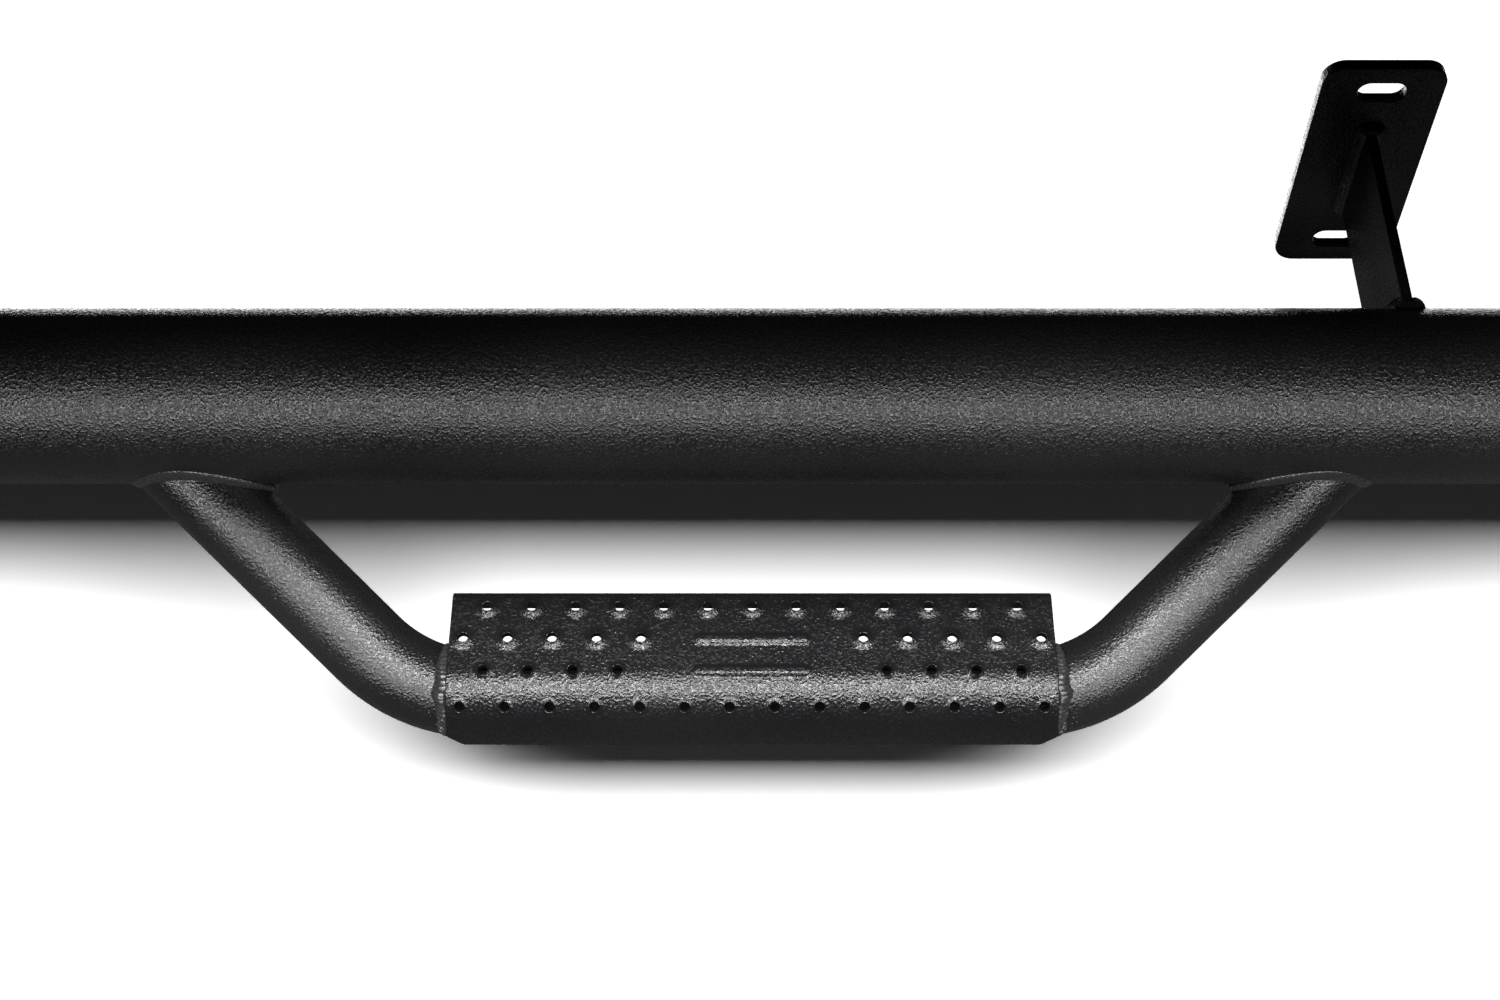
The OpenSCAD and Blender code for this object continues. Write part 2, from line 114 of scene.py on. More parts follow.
def powder_coat(name, dark, light, rough, grain, peel, peel_from=None):
    """Fine-textured black powder coat: speckle, grain and orange peel, all in real millimetres.

    Its speckle runs between two colours and 0.16 to both sides of a roughness.
    """
    material = bpy.data.materials.new(name)
    material.use_nodes = True
    tree = material.node_tree
    shader = tree.nodes["Principled BSDF"]
    place = node(tree, "ShaderNodeTexCoord").outputs["Object"]

    def noise(scale, detail, roughness=0.5, vector=place):
        return node(tree, "ShaderNodeTexNoise", {"Vector": vector},
                    {"Scale": scale, "Detail": detail, "Roughness": roughness}).outputs["Fac"]

    # 1.2 mm speckle: the coat's texture, seen as sparkle inside the highlights
    speckle = noise(850, 1, 0.6)
    # 0.45 mm cells: the finest facets of the texture
    facets = node(tree, "ShaderNodeTexVoronoi", {"Vector": place}, {"Scale": 2200}).outputs["Distance"]
    # 4 mm orange peel: the coat's slow waves
    waves = noise(260, 2)
    # 160 mm drift: handling and thickness differences along the tube
    drift = noise(6, 2)
    # 40 mm thin scuffs along the part, hardly seen
    stretched = node(tree, "ShaderNodeMapping", {"Vector": place}, {"Scale": (25, 420, 420)})
    scuffs = noise(1, 4, vector=stretched.outputs["Vector"])

    grains = ramp(tree, speckle, 0.36, 0.64)
    colour = node(tree, "ShaderNodeMix", {0: grains}, {6: srgb(dark), 7: srgb(light)}, data_type="RGBA")
    # a little dust where the drift is high
    dusty = ramp(tree, drift, 0.35, 0.75, 0.0, 0.10)
    dusted = node(tree, "ShaderNodeMix", {0: dusty, 6: colour.outputs[2]}, {7: srgb("#56544f")},
                  data_type="RGBA")
    tree.links.new(dusted.outputs[2], shader.inputs["Base Color"])

    # the speckle spreads the roughness, the drift and the scuffs shift it
    total = ramp(tree, speckle, 0.38, 0.62, rough + 0.16, rough - 0.16)
    for shift in (ramp(tree, drift, 0.3, 0.7, -0.03, 0.03), ramp(tree, scuffs, 0.60, 0.74, 0.0, -0.05)):
        total = node(tree, "ShaderNodeMath", {0: total, 1: shift}, operation="ADD").outputs[0]
    tree.links.new(total, shader.inputs["Roughness"])
    shader.inputs["Specular IOR Level"].default_value = 0.7

    # heights of the relief: 0.6 mm waves, 0.5 mm speckle and 0.1 mm facets, each times its strength
    peeled = node(tree, "ShaderNodeBump", {"Height": waves}, {"Strength": peel, "Distance": 0.6 * MM})
    if peel_from is not None:
        # the waves grow along one leg of the hoop, where the coat lies thicker
        across = node(tree, "ShaderNodeSeparateXYZ", {"Vector": place}).outputs["X"]
        growth = ramp(tree, across, peel_from, peel_from + 30 * MM, peel, peel * 3)
        tree.links.new(growth, peeled.inputs["Strength"])
    speckled = node(tree, "ShaderNodeBump", {"Height": speckle, "Normal": peeled.outputs["Normal"]},
                    {"Strength": grain, "Distance": 0.5 * MM})
    faceted = node(tree, "ShaderNodeBump", {"Height": facets, "Normal": speckled.outputs["Normal"]},
                   {"Strength": grain * 0.4, "Distance": 0.1 * MM})
    tree.links.new(faceted.outputs["Normal"], shader.inputs["Normal"])
    return material


# Dark and light colour, roughness, strengths of grain and peel, and the X where the peel grows
tube_coat = powder_coat("black_powder_coat", "#08080a", "#141416", 0.36, 1.0, 0.10)
hoop_coat = powder_coat("black_powder_coat_with_orange_peel", "#0a0a0b", "#161618", 0.30, 0.8, 0.14, 0.27)
pad_coat = powder_coat("black_powder_coat_on_sheet", "#0e0e10", "#1b1b1d", 0.30, 0.85, 0.10)
bead_coat = powder_coat("black_powder_coat_over_weld", "#1c1c1d", "#323234", 0.30, 0.35, 0.20)
# A near-black copy of the coat with almost no gloss: painted shade for the tube under the sheet, seen through
# the holes in the fold.
painted_shade_under_pad = powder_coat("painted_shade_under_sheet", "#060606", "#0b0b0b", 0.80, 0.1, 0.05)
painted_shade_under_pad.node_tree.nodes["Principled BSDF"].inputs["Specular IOR Level"].default_value = 0.08


# ---- meshes ----

def plain_mesh(name, points, faces):
    mesh = bpy.data.meshes.new(name)
    mesh.from_pydata([tuple(map(float, p)) for p in points], [], [list(map(int, f)) for f in faces])
    return mesh


def add_object(name, data):
    made = bpy.data.objects.new(name, data)
    bpy.context.scene.collection.objects.link(made)
    return made


def make(name, points, faces, material, sharp=40):
    """A smooth object from points and faces, with the edges above an angle kept sharp."""
    return finish_mesh(name, plain_mesh(name, points, faces), material, sharp)


def finish_mesh(name, mesh, material, sharp):
    """Welds and shades a mesh, gives it its coat and adds it to the scene."""
    bm = bmesh.new()
    bm.from_mesh(mesh)
    bmesh.ops.remove_doubles(bm, verts=bm.verts, dist=1e-7)
    bmesh.ops.recalc_face_normals(bm, faces=bm.faces)
    bm.to_mesh(mesh)
    bm.free()
    mesh.materials.clear()
    mesh.materials.append(material)
    mesh.shade_smooth()
    mesh.set_sharp_from_angle(angle=math.radians(sharp))
    return add_object(name, mesh)


def attach(piece, *cad_nodes):
    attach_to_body(piece, "root")
    if cad_nodes:
        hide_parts(*cad_nodes)
    return piece


def skin(rings, closed_path, closed_ring=True, offset=0):
    """Quads over an array of rings, each a list of points."""
    count, sides = len(rings), len(rings[0])
    faces = []
    for r in range(count if closed_path else count - 1):
        for i in range(sides if closed_ring else sides - 1):
            a, b = r * sides, (r + 1) % count * sides
            j = (i + 1) % sides
            faces.append([offset + a + i, offset + a + j, offset + b + j, offset + b + i])
    return faces


def wall(outer, inner, material, name):
    """A pipe from its outer and inner rings, closed by a ring of faces at both ends."""
    count, sides = len(outer), len(outer[0])
    points = np.concatenate([outer.reshape(-1, 3), inner.reshape(-1, 3)])
    faces = skin(outer, False) + skin(inner, False, offset=count * sides)
    for r in (0, count - 1):
        for i in range(sides):
            j = (i + 1) % sides
            a = r * sides
            faces.append([a + i, a + j, count * sides + a + j, count * sides + a + i])
    return make(name, points, faces, material, 35)


def unit(v):
    return v / np.linalg.norm(v, axis=-1, keepdims=True)


def out_of_x(p):
    """Unit direction straight away from the X axis."""
    flat = np.array(p, float)
    flat[..., 0] = 0
    return unit(flat)


# Main tube
TURN = np.linspace(0, 2 * math.pi, 160, endpoint=False)


def ring_round(x, r):
    return np.stack([np.full_like(TURN, x), -STANDOFF + r * np.cos(TURN), r * np.sin(TURN)], axis=1)


outer, inner = (np.array([ring_round(x, r) for x in np.linspace(-MAIN_HALF, MAIN_HALF, 9)])
                for r in (MAIN_R, MAIN_R - MAIN_WALL))
attach(wall(outer, inner, tube_coat, "main_tube_skin"), "main_tube")

# End caps: a rim with its edge rounded over 0.6 to 0.9 mm, and a shallow dome
dome_r = (MAIN_R ** 2 + CAP_DOME ** 2) / (2 * CAP_DOME)
for side, cad in ((-1, "left_end_cap"), (1, "right_end_cap")):
    outline = [(0.0, MAIN_R), (CAP_RIM - 0.6 * MM, MAIN_R), (CAP_RIM - 0.1 * MM, MAIN_R - 0.15 * MM)]
    for radius in np.linspace(MAIN_R - 0.9 * MM, 0.4 * MM, 26):
        outline.append((CAP_RIM + CAP_DOME - dome_r + math.sqrt(dome_r ** 2 - radius ** 2), radius))
    rings = np.array([ring_round(side * (MAIN_HALF + x), r) for x, r in outline])
    points = np.concatenate([rings.reshape(-1, 3), [[side * (MAIN_HALF + CAP_RIM + CAP_DOME), -STANDOFF, 0],
                                                    [side * MAIN_HALF, -STANDOFF, 0]]])
    last = (len(rings) - 1) * len(TURN)
    faces = skin(rings, False)
    for i in range(len(TURN)):
        j = (i + 1) % len(TURN)
        faces += [[last + i, last + j, len(points) - 2], [j, i, len(points) - 1]]
    attach(make(cad + "_dome", points, faces, tube_coat), cad)


# Hoop

def to_world(p):
    """From the hoop's own plane, with its origin on the main tube's axis, to the part's place."""
    x, y, z = np.moveaxis(np.asarray(p, float), -1, 0)
    tilt = SLOPE - math.pi / 2
    return np.stack([x + SHIFT, y * math.cos(tilt) - z * math.sin(tilt) - STANDOFF,
                     y * math.sin(tilt) + z * math.cos(tilt)], axis=-1)


def seam(a, r=HOOP_R):
    """Where the right leg meets the main tube, at angles round the leg."""
    deep = np.sqrt(MAIN_R ** 2 - (r * np.sin(a)) ** 2)
    run = (r * np.cos(a) * math.cos(LEG) + deep) / math.sin(LEG)
    across = LEG_FOOT - run * math.cos(LEG) - r * np.cos(a) * math.sin(LEG)
    return np.stack([across, r * np.sin(a), -deep], axis=-1)


def hoop_rings(r):
    """Rings of the hoop at a radius, from the left cope over both bends to the right one."""
    a = np.linspace(0, 2 * math.pi, 96, endpoint=False)

    def ring(x, z, turn):
        return np.stack([x - r * np.cos(a) * math.sin(turn), r * np.sin(a),
                         z + r * np.cos(a) * math.cos(turn)], axis=1)

    half = [ring(x, -DROP, 0) for x in np.linspace(0, HALF_RUN, 5)]
    for turn in np.linspace(0, LEG, 25)[1:]:
        half.append(ring(HALF_RUN + BEND_R * math.sin(turn), BEND_R - DROP - BEND_R * math.cos(turn), turn))
    end = half[-1]
    half += [end + (seam(a, r) - end) * f for f in (0.34, 0.67, 1.0)]
    half = np.array(half)
    other = half[:0:-1] * [-1, 1, 1]
    return to_world(np.concatenate([other, half]))


hoop = wall(hoop_rings(HOOP_R), hoop_rings(HOOP_R - HOOP_WALL), hoop_coat, "hoop_tube_skin")
attach(hoop, "hoop_tube")
# The tube's faces under the sheet get a near-black coat with almost no gloss, a painted shade, so that the
# holes in the fold look dark.
hoop.data.materials.append(painted_shade_under_pad)
for face in hoop.data.polygons:
    x, y, z = face.center
    covered = abs(x - SHIFT) < PAD_HALF - 3 * MM
    outside = math.hypot(y - PAD_AT[1], z - PAD_AT[2]) > HOOP_R - HOOP_WALL / 2
    if covered and outside and face.normal.z > 0.45 and face.normal.y < 0.35:
        face.material_index = 1


# Weld beads: a fillet swept along its joint, with the small crescents that a welding pass leaves

def crescents(length, across, pitch, height, seed):
    """Scale of a bead's crown at places along it and across it."""
    rng = np.random.default_rng(seed)
    swell = sum(rng.uniform(0.3, 1) * np.sin(2 * math.pi * (k * length[:, None] / length[-1] + rng.random()))
                for k in (2, 3, 5, 9)) / 3
    phase = (length[:, None] - 0.7 * pitch * (1 - across[None, :] ** 2)) / pitch + 0.35 * swell
    saw = phase - np.floor(phase)
    return 1 + 0.05 * swell + height * (np.sqrt(np.clip(1 - saw ** 2, 0, 1)) - 0.6)


def fillet(corner, toe_a, toe_b, pitch=1.9 * MM, height=0.16, seed=1, steps=10, lumps=()):
    """Rings of a bead from its joint's corner points and its toes, with lumps where passes start and stop."""
    # an exponent of 1 gives a full quarter round, and 2 a flat bead
    u = np.linspace(0, math.pi / 2, steps)
    wa, wb = np.cos(u) ** 1.3, np.sin(u) ** 1.3
    step = np.linalg.norm(np.roll(corner, -1, 0) - corner, axis=1)
    length = np.concatenate([[0], np.cumsum(step)])[:len(corner)] + 1e-9
    grow = crescents(length, np.linspace(-1, 1, steps), pitch, height, seed)
    for place in lumps:
        away = np.abs(length - place * length[-1])
        away = np.minimum(away, length[-1] - away)
        grow += 0.4 * np.exp(-(away / (2.6 * MM)) ** 2)[:, None]
    # the toes stay where they are, and the root lies a little inside the joint
    edge = np.sin(np.linspace(0, math.pi, steps)) ** 0.5
    grow = 1 + (grow - 1) * edge[None, :]
    crown = corner[:, None] + grow[..., None] * (wa[None, :, None] * (toe_a - corner)[:, None]
                                                 + wb[None, :, None] * (toe_b - corner)[:, None])
    root = corner - 0.25 * ((toe_a + toe_b) / 2 - corner)
    return np.concatenate([root[:, None], crown], axis=1)


def bead(name, rings, closed=True):
    faces = skin(rings, closed)
    if not closed:
        sides = len(rings[0])
        faces += [list(range(sides)), list(range((len(rings) - 1) * sides, len(rings) * sides))]
    return make(name, rings.reshape(-1, 3), faces, bead_coat, 50)


# Hoop to main tube
a = np.linspace(0, 2 * math.pi, 420, endpoint=False)
foot = seam(a)
leg_out = np.stack([-np.cos(a) * math.sin(LEG), np.sin(a), np.cos(a) * math.cos(LEG)], axis=1)
tube_out = out_of_x(foot)
aside = unit(np.cross(seam(a + 0.01) - seam(a - 0.01), tube_out))
aside *= np.sign(np.sum(aside * leg_out, axis=1))[:, None]
# the bead is thickest in the sharp corner at the inside of the leg
size = (HOOP_BEAD * (0.82 + 0.18 * np.cos(a)))[:, None]
toe = foot + size * aside
toe = np.stack([toe[:, 0], 0 * a, 0 * a], axis=1) + (MAIN_R + LIFT) * out_of_x(toe)
down_leg = np.array([-math.cos(LEG), 0, -math.sin(LEG)])
corner = foot + LIFT * (leg_out + tube_out)
for side, cad, seed in ((-1, "left_hoop_weld", 3), (1, "right_hoop_weld", 4)):
    rings = fillet(corner, toe, foot + size * down_leg + LIFT * leg_out, seed=seed, lumps=(0.0, 0.06))
    attach(bead(cad + "_bead", to_world(rings * [side, 1, 1])), cad)


# Pad to hoop

def on_hoop(x, a):
    """Places just off the hoop's skin, from the pad's middle, at angles from the top over the front."""
    r = HOOP_R + LIFT
    off_plane, outer = r * np.cos(a - SLOPE), BEND_R + r * np.sin(a - SLOPE)
    down = np.sqrt(outer ** 2 - np.clip(x - HALF_RUN, 0, None) ** 2) - BEND_R
    return np.stack([x + 0 * a, -down * math.cos(SLOPE) - off_plane * math.sin(SLOPE),
                     -down * math.sin(SLOPE) + off_plane * math.cos(SLOPE)], axis=-1)


def sheet_reach(a):
    """How far the sheet's outside lies from the hoop's axis at angles from the top over the front."""
    edge = math.atan(FOLD_C / PAD_REACH)
    folded = FOLD_C * (np.cos(a) + np.sin(a)) + np.sqrt(FOLD_R ** 2 - (FOLD_C * (np.cos(a) - np.sin(a))) ** 2)
    return np.where(a < edge, PAD_REACH / np.cos(a),
                    np.where(a > math.pi / 2 - edge, PAD_REACH / np.sin(a), folded))


start_at = math.radians(-32)
finish_at = math.pi / 2 + math.atan((SKIRT_DROP - CHAMFER / 2) / PAD_REACH)
part = np.linspace(0, 1, 130)
a = start_at + (finish_at - start_at) * part
# the bead starts and ends at about a third of its size
swell = 0.35 + 0.65 * np.sqrt(np.sin(math.pi * np.clip(0.02 + 0.96 * part, 0, 1)))
x = PAD_HALF + LIFT
corner = on_hoop(x, a)
edge = np.stack([x + 0 * a, -sheet_reach(a) * np.sin(a), sheet_reach(a) * np.cos(a)], axis=1)
for side, cad, seed in ((-1, "left_pad_weld", 5), (1, "right_pad_weld", 6)):
    rings = fillet(corner, on_hoop(x + swell * PAD_BEAD, a), corner + swell[:, None] * (edge - corner),
                   height=0.28, seed=seed, lumps=(0.55, 0.93))
    attach(bead(cad + "_bead", rings * [side, 1, 1] + PAD_AT, closed=False), cad)


# Bracket arms to main tube and to mount plates

def arm_loop(half):
    """Places round an arm's end, 0.35 mm apart on its sides, and their outward directions."""
    places, outs = [], []
    corners = [(1, 1), (-1, 1), (-1, -1), (1, -1)]
    r = 0.5 * MM
    for k, (across, along) in enumerate(corners):
        centre = np.array([across * (ARM_T / 2 - r), along * (half - r)])
        for turn in np.linspace(0, math.pi / 2, 7):
            outs.append(np.array([math.cos(k * math.pi / 2 + turn), math.sin(k * math.pi / 2 + turn)]))
            places.append(centre + (r + LIFT) * outs[-1])
        if k % 2:
            straight = 2 * (half - r)
            for f in np.linspace(0, 1, int(straight / (0.35 * MM)))[1:-1]:
                outs.append(np.array([across, 0.0]))
                places.append(np.array([across * (ARM_T / 2 + LIFT),
                                        along * (half - r) - along * straight * f]))
    return np.array(places), np.array(outs)


def on_tube(place):
    """Wraps places on a flat sheet onto the main tube's back, just off its skin."""
    turn = place[:, 1] / MAIN_R
    return np.stack([place[:, 0], (MAIN_R + LIFT) * np.cos(turn), (MAIN_R + LIFT) * np.sin(turn)], axis=1)


tube_half = MAIN_R * math.asin(ARM_H / 2 / MAIN_R)
place, out = arm_loop(tube_half)
corner = on_tube(place)
end = np.abs(out[:, 1:2])
up = unit((1 - end) * out_of_x(corner) + end * np.array([0, 1, 0]))
arm_rings = fillet(corner, on_tube(place + ARM_BEAD * out), corner + ARM_BEAD * up, seed=7)
place, out = arm_loop(ARM_H / 2)
corner = np.stack([place[:, 0], np.full(len(place), -PLATE_T - LIFT), place[:, 1]], axis=1)
along = ARM_BEAD * np.stack([out[:, 0], 0 * out[:, 0], out[:, 1]], axis=1)
plate_rings = fillet(corner, corner + along, corner - [0, ARM_BEAD, 0], seed=8)
for side, word in ((-1, "left"), (1, "right")):
    attach(bead(word + "_arm_weld_bead", arm_rings + [side * BRACKET_X, -STANDOFF, 0]), word + "_arm_weld")
    attach(bead(word + "_plate_weld_bead", plate_rings + [side * BRACKET_X, 0, 0]), word + "_plate_weld")

# Beads round the end caps: a low half-round over the joint, with 120 ripples
turn = np.linspace(0, 2 * math.pi, 640, endpoint=False)
u = np.linspace(0, math.pi, 12)
length = turn * MAIN_R + 1e-9
for side, word, seed in ((-1, "left", 9), (1, "right", 10)):
    grow = crescents(length, np.linspace(-1, 1, 12), 2 * math.pi * MAIN_R / 120, 0.10, seed)
    grow = 1 + (np.minimum(grow, 1.0) - 1) * np.sin(u)[None, :]
    deep = MAIN_R + CAP_BEAD * grow * np.sin(u)[None, :]
    wide = side * (MAIN_HALF + 1.6 * CAP_BEAD * np.cos(u)[None, :] + 0 * grow)
    rings = np.stack([wide, -STANDOFF + deep * np.cos(turn)[:, None], deep * np.sin(turn)[:, None]], axis=-1)
    attach(bead(word + "_cap_weld_bead", rings), word + "_cap_weld")


# Arms and mount plates: the CAD shapes with their cut edges rounded, as under a coat

def rounded(cad, width, name):
    """A copy of a CAD node's mesh with its sharp edges rounded by a width."""
    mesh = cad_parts[cad].data.copy()
    bm = bmesh.new()
    bm.from_mesh(mesh)
    bmesh.ops.remove_doubles(bm, verts=bm.verts, dist=1e-6)
    bmesh.ops.dissolve_limit(bm, angle_limit=math.radians(1), verts=bm.verts, edges=bm.edges)
    edges = [e for e in bm.edges if len(e.link_faces) == 2 and e.calc_face_angle(0) > math.radians(50)]
    bmesh.ops.bevel(bm, geom=edges, offset=width, segments=3, profile=0.5, affect="EDGES", clamp_overlap=True)
    bm.to_mesh(mesh)
    bm.free()
    return finish_mesh(name, mesh, tube_coat, 35)


for word in ("left", "right"):
    attach(rounded(word + "_arm", 0.5 * MM, word + "_arm_plate"), word + "_arm")
    attach(rounded(word + "_mount_plate", 0.7 * MM, word + "_mount_plate_rounded"), word + "_mount_plate")


# ---- step pad ----
# The sheet is laid out flat first, with X along the bar and Y its length from the rear flange's
# lower edge over the tread to the skirt's lower edge. Then it is folded over the hoop.

T_FLANGE = FLANGE - REAR_R
T_REAR = T_FLANGE + REAR_R * math.pi / 2
T_FLAT = T_REAR + PAD_BACK + FOLD_C - REAR_R
T_FRONT = T_FLAT + FOLD_R * math.pi / 2
T_END = T_FRONT + FOLD_C + SKIRT_DROP
FIRST_ROW = SETBACK + T_REAR - REAR_R
# Quads along a pitch and across a row
STEPS, ROW_STEPS = 12, 10


def cell(name, wide, deep, core, radii, hole):
    """A rectangle of sheet whose quads run round a hole or a rib, cut so that its neighbours fit."""
    nx, ny = round(wide / PITCH * STEPS), ROW_STEPS
    xs, ys = np.linspace(-wide / 2, wide / 2, nx + 1), np.linspace(-deep / 2, deep / 2, ny + 1)
    edge = ([(x, -deep / 2) for x in xs[:-1]] + [(wide / 2, y) for y in ys[:-1]]
            + [(x, deep / 2) for x in xs[:0:-1]] + [(-wide / 2, y) for y in ys[:0:-1]])
    edge = np.array(edge)
    middle = np.stack([np.clip(edge[:, 0], -core, core), 0 * edge[:, 1]], axis=1)
    rings = [middle + r * unit(edge - middle) for r in radii] + [edge]
    if not hole:
        rings.insert(0, middle)
    flat = [np.column_stack([ring, 0 * ring[:, 0]]) for ring in rings]
    return add_object(name, plain_mesh(name, np.concatenate(flat), skin(flat, False)))


def strip(name, wide, deep, columns, rows):
    """A rectangle of sheet in plain quads, with its rear edge at zero."""
    xs, ys = np.linspace(-wide / 2, wide / 2, columns + 1), np.linspace(0, deep, rows + 1)
    lines = [[(x, y, 0.0) for x in xs] for y in ys]
    return add_object(name, plain_mesh(name, sum(lines, []), skin(lines, False, closed_ring=False)))


# Radii of the rings of quads round a hole and round a rib
round_hole = np.array([2.15, 2.2, 2.3, 2.45, 2.65, 2.9, 3.2, 3.55, 3.95, 4.4, 4.9, 5.4, 5.95, 6.5, 7.2]) * MM
round_rib = np.array([0.6, 1.2, 1.8, 2.3, 2.7, 3.0, 3.3, 3.6, 4.2, 5.6]) * MM
cells = {
    "dimple": cell("cell_dimple", PITCH, ROW, 0, round_hole, True),
    "plain": cell("cell_plain", PITCH, ROW, 0, [2 * MM, 5 * MM, 7 * MM], False),
    "rib_4": cell("cell_rib_4", 4 * PITCH, ROW, RIB_HALF, round_rib, False),
    "rib_5": cell("cell_rib_5", 5 * PITCH, ROW, RIB_HALF, round_rib, False),
    "rear": strip("cell_rear", PITCH, FIRST_ROW - ROW / 2, STEPS, 5),
    "front": strip("cell_front", PITCH, T_END + 2 * MM - FIRST_ROW - 3.5 * ROW, STEPS, 8),
}

# Rows of cells as (cell, count, first X in pitches, row in pitches from the first)
layout = [
    ("dimple", 13, -6, 0), ("plain", 1, -7, 0), ("plain", 1, 7, 0),
    ("dimple", 5, -6.5, 1), ("rib_4", 1, 0, 1), ("dimple", 5, 2.5, 1),
    ("dimple", 4, -6, 2), ("plain", 1, -7, 2), ("rib_5", 1, 0, 2), ("dimple", 4, 3, 2), ("plain", 1, 7, 2),
    ("dimple", 14, -6.5, 3),
    ("rear", 15, -7, None), ("front", 15, -7, 3.5),
]


def geometry_tree(name, inputs):
    """A Geometry Nodes tree with named inputs, and those inputs' sockets. A whole number makes an integer."""
    tree = bpy.data.node_groups.new(name, "GeometryNodeTree")
    face = tree.interface
    face.new_socket("Geometry", in_out="INPUT", socket_type="NodeSocketGeometry")
    for key, value in inputs.items():
        kind = "NodeSocketInt" if isinstance(value, int) else "NodeSocketFloat"
        face.new_socket(key, in_out="INPUT", socket_type=kind).default_value = value
    face.new_socket("Geometry", in_out="OUTPUT", socket_type="NodeSocketGeometry")
    return tree, node(tree, "NodeGroupInput").outputs


def pattern_tree(material):
    """Lays the pad's cells out in rows, joins them and gives them one coat."""
    tree, given = geometry_tree("pad_pattern", {"Pitch": PITCH, "Row pitch": ROW, "First row": FIRST_ROW,
                                                "Merge distance": 0.02 * MM})
    step = node(tree, "ShaderNodeCombineXYZ", {"X": given["Pitch"]}).outputs[0]
    joined = node(tree, "GeometryNodeJoinGeometry")
    for kind, count, first, row in layout:
        x = node(tree, "ShaderNodeMath", {0: given["Pitch"]}, {1: first}, operation="MULTIPLY").outputs[0]
        start = node(tree, "ShaderNodeCombineXYZ", {"X": x})
        if row is not None:
            y = node(tree, "ShaderNodeMath", {0: given["Row pitch"], 2: given["First row"]}, {1: row},
                     operation="MULTIPLY_ADD")
            tree.links.new(y.outputs[0], start.inputs["Y"])
        line = node(tree, "GeometryNodeMeshLine", {"Start Location": start.outputs[0], "Offset": step},
                    {"Count": count})
        shape = node(tree, "GeometryNodeObjectInfo", values={"Object": cells[kind]})
        placed = node(tree, "GeometryNodeInstanceOnPoints",
                      {"Points": line.outputs["Mesh"], "Instance": shape.outputs["Geometry"]})
        tree.links.new(placed.outputs[0], joined.inputs[0])
    real = node(tree, "GeometryNodeRealizeInstances", {0: joined.outputs[0]})
    merged = node(tree, "GeometryNodeMergeByDistance",
                  {"Geometry": real.outputs[0], "Distance": given["Merge distance"]})
    coated = node(tree, "GeometryNodeSetMaterial", {"Geometry": merged.outputs[0]}, {"Material": material})
    node(tree, "NodeGroupOutput", {0: coated.outputs[0]})
    return tree


def grown(tree, name, start=None):
    """Runs a geometry tree on an object and returns the plain mesh that it makes."""
    host = add_object(name + "_host", start or bpy.data.meshes.new(name + "_start"))
    host.modifiers.new(name, "NODES").node_group = tree
    ready = host.evaluated_get(bpy.context.evaluated_depsgraph_get())
    mesh = bpy.data.meshes.new_from_object(ready)
    bpy.data.objects.remove(host)
    return mesh


flat_sheet = grown(pattern_tree(pad_coat), "pad_pattern")
for made in cells.values():
    bpy.data.objects.remove(made)

# Cut to the pad's outline, with extra lines beside the edges, and lines across both folds
bm = bmesh.new()
bm.from_mesh(flat_sheet)
slant = math.sqrt(0.5)
borders = [((PAD_HALF, 0), (1, 0)), ((-PAD_HALF, 0), (-1, 0)), ((0, T_END), (0, 1)), ((0, 0), (0, -1)),
           ((PAD_HALF, T_END - CHAMFER), (slant, slant)), ((-PAD_HALF, T_END - CHAMFER), (-slant, slant))]
EDGE_ROUND = 0.5 * MM


def cut(x, y, nx, ny, clear):
    bmesh.ops.bisect_plane(bm, geom=bm.verts[:] + bm.edges[:] + bm.faces[:], dist=1e-7, plane_co=(x, y, 0),
                           plane_no=(nx, ny, 0), clear_outer=clear)


for (x, y), (nx, ny) in borders:
    if (nx, ny) != (0, -1):
        cut(x, y, nx, ny, True)
    for inset in (0.15 * EDGE_ROUND, EDGE_ROUND):
        cut(x - nx * inset, y - ny * inset, nx, ny, False)
for t in [*np.linspace(T_FLANGE, T_REAR, 9), *np.linspace(T_FLAT, T_FRONT, 21)]:
    cut(0, float(t), 0, 1, False)
bmesh.ops.remove_doubles(bm, verts=bm.verts, dist=4e-6)
bm.verts.index_update()
laid = np.array([v.co[:2] for v in bm.verts])
quads = [[v.index for v in f.verts] for f in bm.faces]
rim = [(e.verts[0].index, e.verts[1].index) for e in bm.edges if len(e.link_faces) == 1]
bm.free()


def flare(d, foot, rim, height):
    """Height of a dimple at a distance from its middle: steepest at the hole, level at its foot."""
    return height * np.clip((foot - d) / (foot - rim), 0, 1) ** 2


def bell(d, foot, crown, height):
    """Height of a rib at a distance from its middle line."""
    return height * (1 - np.cos(math.pi * np.clip((foot - d) / (foot - crown), 0, 1))) / 2


holes = np.array([(x0 * PITCH + i * PITCH, FIRST_ROW + row * ROW)
                  for kind, count, x0, row in layout if kind == "dimple" for i in range(count)])
from_hole, nearest = np.full(len(laid), 1.0), np.zeros(len(laid), int)
for k, (hx, hy) in enumerate(holes):
    away = np.hypot(laid[:, 0] - hx, laid[:, 1] - hy)
    nearest[away < from_hole] = k
    from_hole = np.minimum(from_hole, away)
row_of = np.rint((holes[nearest, 1] - FIRST_ROW) / ROW).astype(int)
foot, rise = DIMPLE_FOOT[row_of], DIMPLE_RISE[row_of]
past_rib = np.clip(np.abs(laid[:, 0]) - RIB_HALF, 0, None)
from_rib = np.minimum(*[np.hypot(past_rib, laid[:, 1] - FIRST_ROW - row * ROW) for row in (1, 2)])
to_border = np.min([nx * (x - laid[:, 0]) + ny * (y - laid[:, 1]) for (x, y), (nx, ny) in borders], axis=0)


def eased(d, radius):
    """How far a rounded edge falls at a distance from the edge."""
    inside = np.clip(radius - d, 0, radius)
    return radius - np.sqrt(radius ** 2 - inside ** 2)


